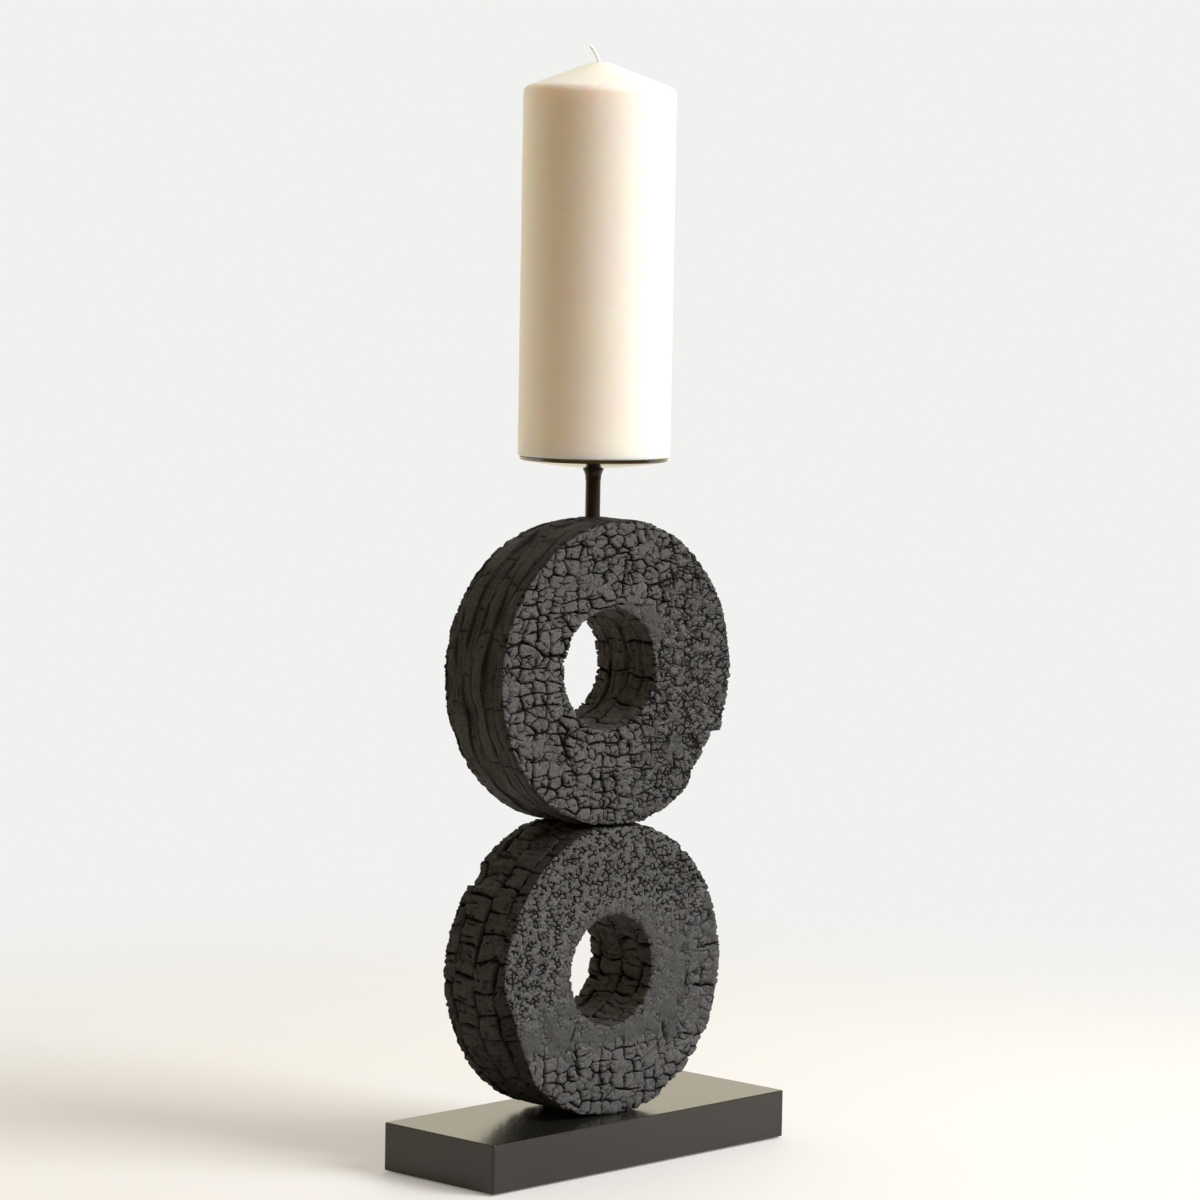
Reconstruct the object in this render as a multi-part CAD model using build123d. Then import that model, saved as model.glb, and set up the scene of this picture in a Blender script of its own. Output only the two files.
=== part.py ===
from build123d import *
import math
import os

# Pillar candle holder, in millimetres.
# Origin: centre of the plinth's footprint, on the surface it stands on. +X runs along the plinth,
# the front is -Y and +Z is up. Two thick charred-wood rings stand on edge, one on the other, on a
# black plinth. A steel stem in the top ring carries a dished pan with a spike for a pillar candle.

# ---- plinth -------------------------------------------------------------------------------------
PLINTH_LENGTH = 212.0
PLINTH_DEPTH = 77.0
PLINTH_TOP = 25.0
PLINTH_CORNER = 1.4
PLINTH_EDGE = 0.7
FELT_THICKNESS = 0.8
FELT_INSET = 3.0
FELT_CORNER = 4.0

# ---- screws that hold the lower ring from below --------------------------------------------------
SCREW_LENGTH = 45.0
SCREW_SHANK_R = 2.4
SCREW_CORE_R = 1.75
SCREW_HEAD_R = 4.6
SCREW_HEAD_DEPTH = 3.2
SCREW_PITCH = 2.0
SCREW_THREAD_LENGTH = 24.0
SCREW_HEAD_Z = 1.6
SCREW_SPACING = 24.0
SCREW_RECESS = (1.0, 4.6, 1.8)

# ---- rings: radius, thickness, centre (x, y, z), yaw, bore radius and the bore's offset ------------
JOINT_Z = 171.25
LOWER_R, LOWER_THICK = 75.5, 47.0
LOWER_CENTRE = (-5.5, -0.5, 98.0)
LOWER_YAW = 3.0
LOWER_BORE_R = 27.0
LOWER_BORE_SHIFT = (-2.2, 0.0)
UPPER_R, UPPER_THICK = 78.0, 46.0
UPPER_CENTRE = (-4.5, 0.0, 246.6)
UPPER_YAW = 4.5
UPPER_BORE_R = 29.25
UPPER_BORE_SHIFT = (-6.0, 2.9)
RING_EDGE = 1.2
CHIP_ANGLE = -35.0
CHIP_DEPTH = 4.5
CHIP_RUN = 15.0

# ---- dowels between the rings ---------------------------------------------------------------------
DOWEL_R = 4.0
DOWEL_LENGTH = 30.0
DOWEL_SPACING = 22.0
DOWEL_CHAMFER = 0.8
GLUE_GAP = 0.1

# ---- stem, collar, pan and spike --------------------------------------------------------------------
STACK_X = -4.5
STEM_SEAT_Z = 324.0
STEM_SEAT_R = 5.4
STEM_R = 3.75
STUD_R, STUD_CORE_R = 3.0, 2.5
STUD_LENGTH = 15.0
STUD_PITCH = 1.0
INSERT_R, INSERT_ROOT_R = 4.6, 4.0
INSERT_LENGTH = 16.0
INSERT_PITCH = 2.0
COLLAR_LOW_Z = 342.8
COLLAR_R = 5.2
COLLAR_LIP = 0.9
PAN_R = 37.25
PAN_SHEET = 1.5
PAN_UNDER_Z = 348.8
PAN_RIM_Z = 354.4
PAN_RIM_FLAT = 1.7
PAN_LIP = 1.9
SPIKE_SHANK_R = 2.0
SPIKE_SHANK_LENGTH = 9.0
SPIKE_FLANGE_R, SPIKE_FLANGE = 6.0, 1.2
SPIKE_SEAT_RISE = 0.25
SPIKE_BASE_R, SPIKE_TIP_R = 2.2, 0.3
SPIKE_TIP_Z = 376.0
FIT = 0.05

# ---- candle and wick ----------------------------------------------------------------------------------
CANDLE_R = 38.1
CANDLE_GAP = 0.1
CANDLE_SHOULDER_Z = 537.6
CANDLE_SHOULDER_ROUND = 4.5
CANDLE_TOP_Z = 550.2
CANDLE_TIP_R = 4.0
CANDLE_FOOT_ROUND = 1.2
SPIKE_HOLE_GAP = 0.35
WICK_R = 0.75
WICK_FOOT_Z = 386.0
WICK_BEND_Z = 545.6
WICK_BEND_R = 18.0
WICK_BEND_ANGLE = 44.0
WICK_HEADING = 133.7


def thread_profile(core, crest, length, pitch):
    """Points of a threaded shank's edge, from z = 0 up to z = length, as rings of V-shaped crests."""
    points = []
    for turn in range(int(length / pitch)):
        low = turn * pitch
        points += [(core, low), (crest, low + pitch / 2)]
    return points + [(core, length)]


def turned(points):
    """A solid of revolution about Z, from the outline's (radius, height) points."""
    outline = [(0, points[0][1])] * (points[0][0] > 0) + points + [(0, points[-1][1])] * (points[-1][0] > 0)
    face = make_face(Polyline(*[(r, 0, z) for r, z in outline], close=True))
    return revolve(face, Axis.Z)


def upright_rod(radius, low, high):
    """A plain round rod on the Z axis."""
    return Pos(0, 0, (low + high) / 2) * Cylinder(radius, high - low)


def in_ring(centre, yaw):
    """The place of a ring's own frame: its bore runs along the frame's Y."""
    return Pos(*centre) * Rot(0, 0, -yaw)


# ---- plinth and felt ---------------------------------------------------------------------------------
def make_felt():
    sheet = Box(PLINTH_LENGTH - 2 * FELT_INSET, PLINTH_DEPTH - 2 * FELT_INSET, FELT_THICKNESS)
    sheet = fillet(sheet.edges().filter_by(Axis.Z), FELT_CORNER)
    return Pos(0, 0, FELT_THICKNESS / 2) * sheet


def screw_places():
    """Both screws, in a row through the lower ring's thickness."""
    ring = Pos(LOWER_CENTRE[0], LOWER_CENTRE[1], SCREW_HEAD_Z) * Rot(0, 0, -LOWER_YAW)
    return [ring * Pos(0, side * SCREW_SPACING / 2, 0) for side in (-1, 1)]


def make_plinth():
    height = PLINTH_TOP - FELT_THICKNESS
    slab = Box(PLINTH_LENGTH, PLINTH_DEPTH, height)
    slab = fillet(slab.edges().filter_by(Axis.Z), PLINTH_CORNER)
    slab = fillet(slab.faces().sort_by(Axis.Z)[-1].edges() + slab.faces().sort_by(Axis.Z)[0].edges(), PLINTH_EDGE)
    slab = Pos(0, 0, FELT_THICKNESS + height / 2) * slab
    mouth = FELT_THICKNESS - SCREW_HEAD_Z
    clearance = turned([(SCREW_HEAD_R + FIT, mouth), (SCREW_HEAD_R + FIT, 0.0),
                        (SCREW_SHANK_R + FIT, SCREW_HEAD_DEPTH), (SCREW_SHANK_R + FIT, PLINTH_TOP)])
    for place in screw_places():
        slab -= place * clearance
    return slab


def make_screw():
    """A countersunk wood screw, head down, with a cross recess."""
    shank_end = SCREW_LENGTH - SCREW_THREAD_LENGTH
    thread = [(r, z + shank_end) for r, z in
              thread_profile(SCREW_CORE_R, SCREW_SHANK_R, SCREW_THREAD_LENGTH - 4.0, SCREW_PITCH)]
    outline = [(SCREW_HEAD_R, 0.0), (SCREW_SHANK_R, SCREW_HEAD_DEPTH), (SCREW_SHANK_R, shank_end)]
    screw = turned(outline + thread + [(0, SCREW_LENGTH)])
    width, length, depth = SCREW_RECESS
    for angle in (0, 90):
        screw -= Rot(0, 0, angle) * Pos(0, 0, depth / 2) * Box(width, length, depth)
    return screw


def make_screws():
    return Compound([place * make_screw() for place in screw_places()])


# ---- rings ------------------------------------------------------------------------------------------------
def ring_blank(radius, thickness, bore_radius, bore_shift):
    """A thick disc standing on edge, bored along Y, its edges eased by the fire."""
    disc = Rot(90, 0, 0) * Cylinder(radius, thickness)
    disc -= Pos(bore_shift[0], 0, bore_shift[1]) * Rot(90, 0, 0) * Cylinder(bore_radius, thickness)
    return chamfer(disc.edges().filter_by(GeomType.CIRCLE), RING_EDGE)


def flat_cut(ring, centre_z, low=None, high=None):
    """Cuts a ring's outline flat below or above the given heights."""
    size = 4 * UPPER_R
    if low is not None:
        ring -= Pos(0, 0, low - centre_z - size / 2) * Box(size, size, size)
    if high is not None:
        ring -= Pos(0, 0, high - centre_z + size / 2) * Box(size, size, size)
    return ring


def dowel_places():
    """Both dowels, side by side on the flats where the rings meet."""
    joint = Pos(UPPER_CENTRE[0], UPPER_CENTRE[1], JOINT_Z) * Rot(0, 0, -UPPER_YAW)
    return [joint * Pos(side * DOWEL_SPACING / 2, 0, 0) for side in (-1, 1)]


def dowel_hole():
    return Cylinder(DOWEL_R + GLUE_GAP, DOWEL_LENGTH + 2 * GLUE_GAP)


def make_lower_ring():
    ring = ring_blank(LOWER_R, LOWER_THICK, LOWER_BORE_R, LOWER_BORE_SHIFT)
    ring = flat_cut(ring, LOWER_CENTRE[2], low=PLINTH_TOP, high=JOINT_Z)
    ring = in_ring(LOWER_CENTRE, LOWER_YAW) * ring
    pilot_top = SCREW_HEAD_Z + SCREW_LENGTH + 0.5
    pilot = upright_rod(SCREW_CORE_R, PLINTH_TOP - SCREW_HEAD_Z, pilot_top - SCREW_HEAD_Z)
    for place in screw_places():
        ring -= place * pilot
    for place in dowel_places():
        ring -= place * dowel_hole()
    return ring


def make_upper_ring():
    ring = ring_blank(UPPER_R, UPPER_THICK, UPPER_BORE_R, UPPER_BORE_SHIFT)
    ring = flat_cut(ring, UPPER_CENTRE[2], low=JOINT_Z)
    # A corner has broken out of the front of the outline, low on the right.
    chip_size = 2 * CHIP_RUN
    chip = Pos(UPPER_R - CHIP_DEPTH + chip_size / 2, -UPPER_THICK / 2, 0) * Box(chip_size, chip_size, 1.4 * CHIP_RUN)
    ring -= Rot(0, -CHIP_ANGLE, 0) * chip
    ring = in_ring(UPPER_CENTRE, UPPER_YAW) * ring
    for place in dowel_places():
        ring -= place * dowel_hole()
    seat = upright_rod(STEM_SEAT_R, STEM_SEAT_Z, STEM_SEAT_Z + 10.0)
    socket = upright_rod(INSERT_ROOT_R + GLUE_GAP, STEM_SEAT_Z - INSERT_LENGTH - 1.0, STEM_SEAT_Z)
    return ring - Pos(STACK_X, 0, 0) * (seat + socket)


def make_dowels():
    peg = Cylinder(DOWEL_R, DOWEL_LENGTH)
    peg = chamfer(peg.edges().filter_by(GeomType.CIRCLE), DOWEL_CHAMFER)
    return Compound([place * peg for place in dowel_places()])


# ---- metalwork -------------------------------------------------------------------------------------------
def make_insert():
    """The threaded brass socket that the stem screws into, flush with the wood."""
    outside = turned(thread_profile(INSERT_ROOT_R, INSERT_R, INSERT_LENGTH, INSERT_PITCH))
    sleeve = outside - upright_rod(STUD_R + FIT, 0, INSERT_LENGTH)
    return Pos(STACK_X, 0, STEM_SEAT_Z - INSERT_LENGTH) * sleeve


def make_stem():
    stud = turned(thread_profile(STUD_CORE_R, STUD_R, STUD_LENGTH, STUD_PITCH))
    stem = upright_rod(STEM_R, STEM_SEAT_Z, PAN_UNDER_Z) + Pos(0, 0, STEM_SEAT_Z - STUD_LENGTH) * stud
    stem -= upright_rod(SPIKE_SHANK_R + FIT, PAN_UNDER_Z - SPIKE_SHANK_LENGTH, PAN_UNDER_Z)
    return Pos(STACK_X, 0, 0) * stem


def make_collar():
    """The trumpet-shaped collar brazed round the stem's top, under the pan."""
    bore = STEM_R + FIT
    lip_z = PAN_UNDER_Z - COLLAR_LIP
    foot, mouth = (bore + 0.15, COLLAR_LOW_Z), (COLLAR_R, lip_z)
    waist = (foot[0] + 0.35, COLLAR_LOW_Z + 0.62 * (lip_z - COLLAR_LOW_Z))
    edge = ThreePointArc(*[(r, 0, z) for r, z in (foot, waist, mouth)])
    rest = Polyline(*[(r, 0, z) for r, z in
                      (mouth, (COLLAR_R, PAN_UNDER_Z), (bore, PAN_UNDER_Z), (bore, COLLAR_LOW_Z), foot)])
    return Pos(STACK_X, 0, 0) * revolve(make_face(Curve() + [edge, rest]), Axis.Z)


def dish(low, rim_r, rim_z, inner_r):
    """An arc from the dish's centre hole out to its rim, nearly flat at the middle."""
    middle_r = (inner_r + rim_r) / 2
    middle_z = low + (rim_z - low) * (middle_r / rim_r) ** 2
    return ThreePointArc((inner_r, 0, low), (middle_r, 0, middle_z), (rim_r, 0, rim_z))


def make_pan():
    """The pressed steel dish that the candle stands in, with a flat rim."""
    hole = SPIKE_SHANK_R + FIT
    lip_r, lip_z = PAN_R - 0.5, PAN_RIM_Z - PAN_LIP
    under = dish(PAN_UNDER_Z, lip_r, lip_z, hole)
    over = dish(PAN_UNDER_Z + PAN_SHEET, PAN_R - PAN_RIM_FLAT, PAN_RIM_Z, hole)
    rim = Polyline((lip_r, 0, lip_z), (PAN_R, 0, lip_z + 0.5), (PAN_R, 0, PAN_RIM_Z - 0.25),
                   (PAN_R - 0.25, 0, PAN_RIM_Z), (PAN_R - PAN_RIM_FLAT, 0, PAN_RIM_Z))
    neck = Line((hole, 0, PAN_UNDER_Z), (hole, 0, PAN_UNDER_Z + PAN_SHEET))
    return Pos(STACK_X, 0, 0) * revolve(make_face(Curve() + [under, rim, over, neck]), Axis.Z)


def spike_base_z():
    return PAN_UNDER_Z + PAN_SHEET + SPIKE_FLANGE


def spike_radius(z):
    """The spike's radius at a height, above its flange."""
    along = (z - spike_base_z()) / (SPIKE_TIP_Z - spike_base_z())
    return SPIKE_BASE_R + along * (SPIKE_TIP_R - SPIKE_BASE_R)


def make_spike():
    """The pricket: its shank clamps the pan to the stem."""
    flange_z = PAN_UNDER_Z + PAN_SHEET
    foot_z = PAN_UNDER_Z - SPIKE_SHANK_LENGTH + 1.0
    return Pos(STACK_X, 0, 0) * turned([
        (SPIKE_SHANK_R, foot_z), (SPIKE_SHANK_R, flange_z + FIT), (SPIKE_FLANGE_R, flange_z + SPIKE_SEAT_RISE),
        (SPIKE_FLANGE_R, spike_base_z() - 0.3), (SPIKE_FLANGE_R - 0.6, spike_base_z()),
        (SPIKE_BASE_R, spike_base_z()), (SPIKE_TIP_R, SPIKE_TIP_Z)])


# ---- candle ---------------------------------------------------------------------------------------------
def make_candle():
    """A plain pillar with a rounded shoulder and a low cone, pierced from below by the spike."""
    foot_z = PAN_RIM_Z + CANDLE_GAP
    body = turned([(0, foot_z), (CANDLE_R, foot_z), (CANDLE_R, CANDLE_SHOULDER_Z),
                   (CANDLE_TIP_R, CANDLE_TOP_Z), (0, CANDLE_TOP_Z)])
    rounds = body.edges().filter_by(GeomType.CIRCLE).sort_by(SortBy.RADIUS)[-2:].sort_by(Axis.Z)
    body = fillet(rounds[-1], CANDLE_SHOULDER_ROUND)
    foot = body.edges().filter_by(GeomType.CIRCLE).sort_by(Axis.Z)[0]
    body = fillet(foot, CANDLE_FOOT_ROUND)
    hole_top = SPIKE_TIP_Z + 1.0
    hole = turned([(spike_radius(foot_z) + SPIKE_HOLE_GAP, foot_z),
                   (spike_radius(hole_top) + SPIKE_HOLE_GAP, hole_top)])
    wick_bore = upright_rod(WICK_R, WICK_FOOT_Z, CANDLE_TOP_Z)
    return Pos(STACK_X, 0, 0) * (body - hole - wick_bore)


def make_wick():
    """The braided wick: cast into the wax, and bent over where it stands out of the tip."""
    straight = Line((0, 0, WICK_FOOT_Z), (0, 0, WICK_BEND_Z))
    turn = math.radians(WICK_BEND_ANGLE)

    def on_bend(angle):
        return (WICK_BEND_R * (1 - math.cos(angle)), 0, WICK_BEND_Z + WICK_BEND_R * math.sin(angle))

    bend = ThreePointArc(on_bend(0), on_bend(turn / 2), on_bend(turn))
    section = Plane(origin=(0, 0, WICK_FOOT_Z), z_dir=(0, 0, 1)) * Circle(WICK_R)
    return Pos(STACK_X, 0, 0) * Rot(0, 0, WICK_HEADING) * sweep(section, path=Curve() + [straight, bend])


PARTS = {
    "base_felt": make_felt,
    "base_plinth": make_plinth,
    "base_screws": make_screws,
    "lower_ring": make_lower_ring,
    "ring_dowels": make_dowels,
    "upper_ring": make_upper_ring,
    "stem_insert": make_insert,
    "stem": make_stem,
    "stem_collar": make_collar,
    "candle_pan": make_pan,
    "candle_spike": make_spike,
    "candle": make_candle,
    "wick": make_wick,
}

os.makedirs("parts", exist_ok=True)
for name, make in PARTS.items():
    part = make()
    part.label = name
    export_step(part, os.path.join("parts", name + ".step"))
    size = part.bounding_box().size
    print(f"{name:14s} {size.X:8.2f} {size.Y:8.2f} {size.Z:8.2f}")
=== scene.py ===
import math

import bmesh
import bpy
from mathutils import Euler, Matrix, Vector


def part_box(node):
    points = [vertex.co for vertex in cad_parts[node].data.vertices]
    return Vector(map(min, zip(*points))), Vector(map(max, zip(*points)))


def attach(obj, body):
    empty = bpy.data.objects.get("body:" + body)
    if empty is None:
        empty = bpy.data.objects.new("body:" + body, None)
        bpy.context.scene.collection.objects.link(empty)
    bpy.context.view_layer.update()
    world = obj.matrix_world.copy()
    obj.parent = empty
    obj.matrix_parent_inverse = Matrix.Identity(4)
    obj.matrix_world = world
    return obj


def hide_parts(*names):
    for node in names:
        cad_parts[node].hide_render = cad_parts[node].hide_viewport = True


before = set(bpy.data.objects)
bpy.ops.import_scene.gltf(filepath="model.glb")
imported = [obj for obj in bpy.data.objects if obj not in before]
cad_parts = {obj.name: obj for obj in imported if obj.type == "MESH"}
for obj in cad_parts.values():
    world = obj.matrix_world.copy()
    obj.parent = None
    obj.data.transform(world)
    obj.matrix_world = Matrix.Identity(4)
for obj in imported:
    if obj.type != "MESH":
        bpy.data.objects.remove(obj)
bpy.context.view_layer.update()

# The looks of a pillar candle holder: two charred-wood rings on a black plinth, a steel stem and pan,
# and a wax candle. Metres throughout, except where a name or a comment says millimetres.

MM = 0.001
scene = bpy.context.scene
scene.view_settings.view_transform = "Standard"


# ---- camera ------------------------------------------------------------------------------------------
# The place is in metres, the angles in degrees, the lens and the sensor in millimetres.
CAMERA_PLACE = (-1.5854, -1.5169, 0.4630)
CAMERA_HEADING = 46.30
CAMERA_TILT = -4.71
CAMERA_ROLL = 1.0
CAMERA_LENS = 131.55
CAMERA_SENSOR = 36.0


def make_camera():
    data = bpy.data.cameras.new("camera")
    data.sensor_width = CAMERA_SENSOR
    data.lens = CAMERA_LENS
    data.clip_start = 0.05
    data.clip_end = 60.0
    camera = bpy.data.objects.new("camera", data)
    scene.collection.objects.link(camera)
    level = Euler((math.radians(90 + CAMERA_TILT), 0, math.radians(-CAMERA_HEADING))).to_matrix()
    turn = (level @ Matrix.Rotation(math.radians(CAMERA_ROLL), 3, "Z")).to_4x4()
    camera.matrix_world = Matrix.Translation(CAMERA_PLACE) @ turn
    scene.camera = camera


make_camera()


# ---- node helpers ------------------------------------------------------------------------------------
def put(tree, kind, inputs=None, **settings):
    """Adds a node. Settings are its own options; each input is given a value or another node's output."""
    node = tree.nodes.new(kind)
    for name, value in settings.items():
        setattr(node, name, value)
    for key, value in (inputs or {}).items():
        if isinstance(value, bpy.types.NodeSocket):
            tree.links.new(value, node.inputs[key])
        else:
            node.inputs[key].default_value = value
    return node


def calc(tree, operation, *values):
    """One step of arithmetic."""
    return put(tree, "ShaderNodeMath", dict(enumerate(values)), operation=operation).outputs[0]


def vector_calc(tree, operation, a, b):
    """One step of arithmetic on vectors."""
    return put(tree, "ShaderNodeVectorMath", {0: a, 1: b}, operation=operation).outputs[0]


def dot(tree, a, b):
    """How far a reaches along b, times the length of b."""
    return put(tree, "ShaderNodeVectorMath", {0: a, 1: b}, operation="DOT_PRODUCT").outputs["Value"]


def length(tree, vector):
    """How long a vector is."""
    return put(tree, "ShaderNodeVectorMath", {0: vector}, operation="LENGTH").outputs["Value"]


def scaled(tree, vector, factor):
    """A vector times a number."""
    return put(tree, "ShaderNodeVectorMath", {0: vector, "Scale": factor}, operation="SCALE").outputs[0]


def join(tree, x, y, z):
    """A vector from three numbers."""
    return put(tree, "ShaderNodeCombineXYZ", {0: x, 1: y, 2: z}).outputs[0]


def parts(tree, vector):
    """The three numbers of a vector."""
    return put(tree, "ShaderNodeSeparateXYZ", {0: vector}).outputs


def ramp(tree, value, low, high, start=0.0, end=1.0):
    """A smooth step from start, at low, to end, at high."""
    inputs = {"Value": value, "From Min": low, "From Max": high, "To Min": start, "To Max": end}
    return put(tree, "ShaderNodeMapRange", inputs, interpolation_type="SMOOTHSTEP").outputs[0]


def noise(tree, place, size, detail=2.0, roughness=0.5):
    """Cloudy noise whose lumps are about one size across, in the units of the place."""
    return put(tree, "ShaderNodeTexNoise",
               {"Vector": place, "Scale": 1.0 / size, "Detail": detail, "Roughness": roughness})


def blend(tree, share, a, b):
    """A plain number between a and b."""
    return put(tree, "ShaderNodeMix", {0: share, 2: a, 3: b}).outputs[0]


def tint(tree, share, a, b):
    """A colour between a and b."""
    return put(tree, "ShaderNodeMix", {0: share, 6: a, 7: b}, data_type="RGBA").outputs[2]


def new_group(name, kind, inputs, outputs):
    """An empty node group with named sockets. Returns it with its input node and its output node."""
    tree = bpy.data.node_groups.new(name, kind)
    for way, sockets in (("INPUT", inputs), ("OUTPUT", outputs)):
        for label, sort in sockets.items():
            tree.interface.new_socket(label, in_out=way, socket_type="NodeSocket" + sort)
    return tree, tree.nodes.new("NodeGroupInput").outputs, tree.nodes.new("NodeGroupOutput").inputs


# ---- charred wood: one pattern, for the relief and for the finish --------------------------------------
# The back of a ring and the wall of its bore take their cracks from places this far off, in millimetres,
# so that they don't repeat the front and the rim.
BACK_SHIFT = 400
BORE_SHIFT = 300
# The layers of a face, in millimetres: how big the blocks are, and how deep the cracks round them go.
GREAT_SIZE, BLOCK_SIZE, CHIP_SIZE, GRANULE_SIZE, HOLE_SIZE = 23.0, 7.2, 4.4, 3.0, 1.5
GREAT_DEPTH, BLOCK_DEPTH, CHIP_DEPTH, PIT_DEPTH, SPLIT_DEPTH = 3.2, 2.4, 1.4, 1.0, 4.0
EDGE_CHIP_DEPTH = 1.6
GRAIN_DEPTH = 0.5
# What goes into the pattern and what comes out of it.
CHAR_INPUTS = {"Face place": "Vector", "Side place": "Vector", "Corner": "Float", "Habit": "Vector",
               "Calm": "Float", "Long splits": "Float", "Stretch": "Vector", "Rim bricks": "Vector",
               "Bore bricks": "Vector", "Streak": "Vector"}
CHAR_OUTPUTS = {"Height": "Float", "Fine height": "Float", "Crack": "Float", "Tone": "Float",
                "Side": "Float", "Grain": "Float", "Bore": "Float", "Rough": "Float"}


def part_mask(tree, place, size, patchy, distance, width):
    """A crack where the distance is small. Patchy says how far it closes and opens along its way."""
    patch = ramp(tree, noise(tree, place, 1.5 * size).outputs[0], 0.36, 0.62, *patchy)
    reach = calc(tree, "MAXIMUM", calc(tree, "MULTIPLY", patch, width), 0.02 * width)
    return calc(tree, "MULTIPLY", ramp(tree, distance, 0.15 * width, reach, 1.0, 0.0),
                ramp(tree, patch, 0.05, 0.35))


def sway(tree, place, size, drift, detail=4.0):
    """The place, pushed about by noise of a size, by about the drift."""
    push = vector_calc(tree, "SUBTRACT", noise(tree, place, size, detail).outputs[1], (0.5, 0.5, 0.5))
    return vector_calc(tree, "ADD", place, vector_calc(tree, "MULTIPLY", push, (2 * drift,) * 3))


def cracks(tree, place, size, width, patchy, drift=0.2, randomness=0.8):
    """Cracks round blocks of about one size, in millimetres, how each block leans, and its tones."""
    bent = sway(tree, place, 0.7 * size, drift * size)
    cells = {"Vector": bent, "Scale": 1.0 / size, "Randomness": randomness}
    edge = put(tree, "ShaderNodeTexVoronoi", cells, voronoi_dimensions="2D", feature="DISTANCE_TO_EDGE")
    block = put(tree, "ShaderNodeTexVoronoi", cells, voronoi_dimensions="2D").outputs
    distance = calc(tree, "MULTIPLY", edge.outputs["Distance"], size)
    mask = part_mask(tree, place, size, patchy, distance, width)
    lean = vector_calc(tree, "SUBTRACT", block["Color"], (0.5, 0.5, 0.5))
    offset = vector_calc(tree, "SUBTRACT", bent, block["Position"])
    return mask, calc(tree, "DIVIDE", dot(tree, lean, offset), size), parts(tree, block["Color"])


def half_gap(tree, value, width):
    """How far a running count is from its nearest whole number, times a width, and the number below it."""
    part = calc(tree, "FRACT", value)
    off_middle = calc(tree, "ABSOLUTE", calc(tree, "SUBTRACT", part, 0.5))
    gap = calc(tree, "MULTIPLY", calc(tree, "SUBTRACT", 0.5, off_middle), width)
    return gap, calc(tree, "FLOOR", value)


def brick_cracks(tree, side, bricks):
    """Staggered bricks round the rim or the bore: bricks holds how many go round, and their breadth."""
    count, breadth = bricks[0], bricks[1]
    bent = sway(tree, sway(tree, side, 24.0, 5.5, detail=1.0), 3.0, 0.7)
    spot = parts(tree, bent)
    lap = calc(tree, "DIVIDE", calc(tree, "ARCTAN2", spot[2], spot[0]), 2 * math.pi)
    across = calc(tree, "DIVIDE", spot[1], breadth)
    long_gap, column = half_gap(tree, across, breadth)
    shift = put(tree, "ShaderNodeTexWhiteNoise", {"W": column}, noise_dimensions="1D").outputs[0]
    along = calc(tree, "MULTIPLY_ADD", lap, count, shift)
    radius = length(tree, join(tree, spot[0], 0.0, spot[2]))
    pitch = calc(tree, "DIVIDE", calc(tree, "MULTIPLY", radius, 2 * math.pi), count)
    cross_gap, row = half_gap(tree, along, pitch)
    row = calc(tree, "FLOORED_MODULO", row, count)
    brick = join(tree, row, column, 0.0)
    chance = put(tree, "ShaderNodeTexWhiteNoise", {"Vector": brick}, noise_dimensions="3D")
    tones = parts(tree, chance.outputs["Color"])
    half_gap_across, _ = half_gap(tree, calc(tree, "MULTIPLY_ADD", along, 2.0, tones[1]), pitch)
    long_mask = part_mask(tree, side, 9.0, (0.0, 1.5), long_gap, 0.85)
    cross_mask = part_mask(tree, side, 8.0, (0.15, 1.5), cross_gap, 1.0)
    half_mask = calc(tree, "MULTIPLY", part_mask(tree, bent, 5.0, (-0.9, 1.0), half_gap_across, 0.7), 0.8)
    mask = calc(tree, "MAXIMUM", calc(tree, "MAXIMUM", long_mask, cross_mask), half_mask)
    lean = calc(tree, "MULTIPLY", calc(tree, "SUBTRACT", tones[2], 0.5), calc(tree, "DIVIDE", cross_gap, 5.0))
    return mask, lean, tones


def split_group(kind):
    """One long crack on a face, from a start along a run, widest in its middle, in millimetres."""
    tree, given, out = new_group(
        "long_split_" + kind[:4].lower(), kind,
        {"Face place": "Vector", "Start": "Vector", "Run": "Vector", "Width": "Float"}, {"Crack": "Float"})
    off = vector_calc(tree, "SUBTRACT", sway(tree, given["Face place"], 9.0, 2.4), given["Start"])
    reach = dot(tree, given["Run"], given["Run"])
    share = put(tree, "ShaderNodeClamp", {"Value": calc(tree, "DIVIDE", dot(tree, off, given["Run"]), reach)})
    share = share.outputs[0]
    nearest = scaled(tree, given["Run"], share)
    gap = put(tree, "ShaderNodeVectorMath", {0: off, 1: nearest}, operation="DISTANCE")
    taper = calc(tree, "SINE", calc(tree, "MULTIPLY_ADD", share, 0.92 * math.pi, 0.04 * math.pi))
    width = calc(tree, "MULTIPLY", taper, given["Width"])
    tree.links.new(ramp(tree, gap.outputs["Value"], 0.0, width, 1.0, 0.0), out["Crack"])
    return tree


def deepest(tree, layers):
    """The deepest of several (mask, depth, share) layers, and the most open of their masks."""
    sunk, crack = 0.0, 0.0
    for mask, depth, share in layers:
        weighed = calc(tree, "MULTIPLY", mask, share)
        sunk = calc(tree, "MAXIMUM", sunk, calc(tree, "MULTIPLY", weighed, depth))
        crack = calc(tree, "MAXIMUM", crack, weighed)
    return sunk, crack


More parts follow.
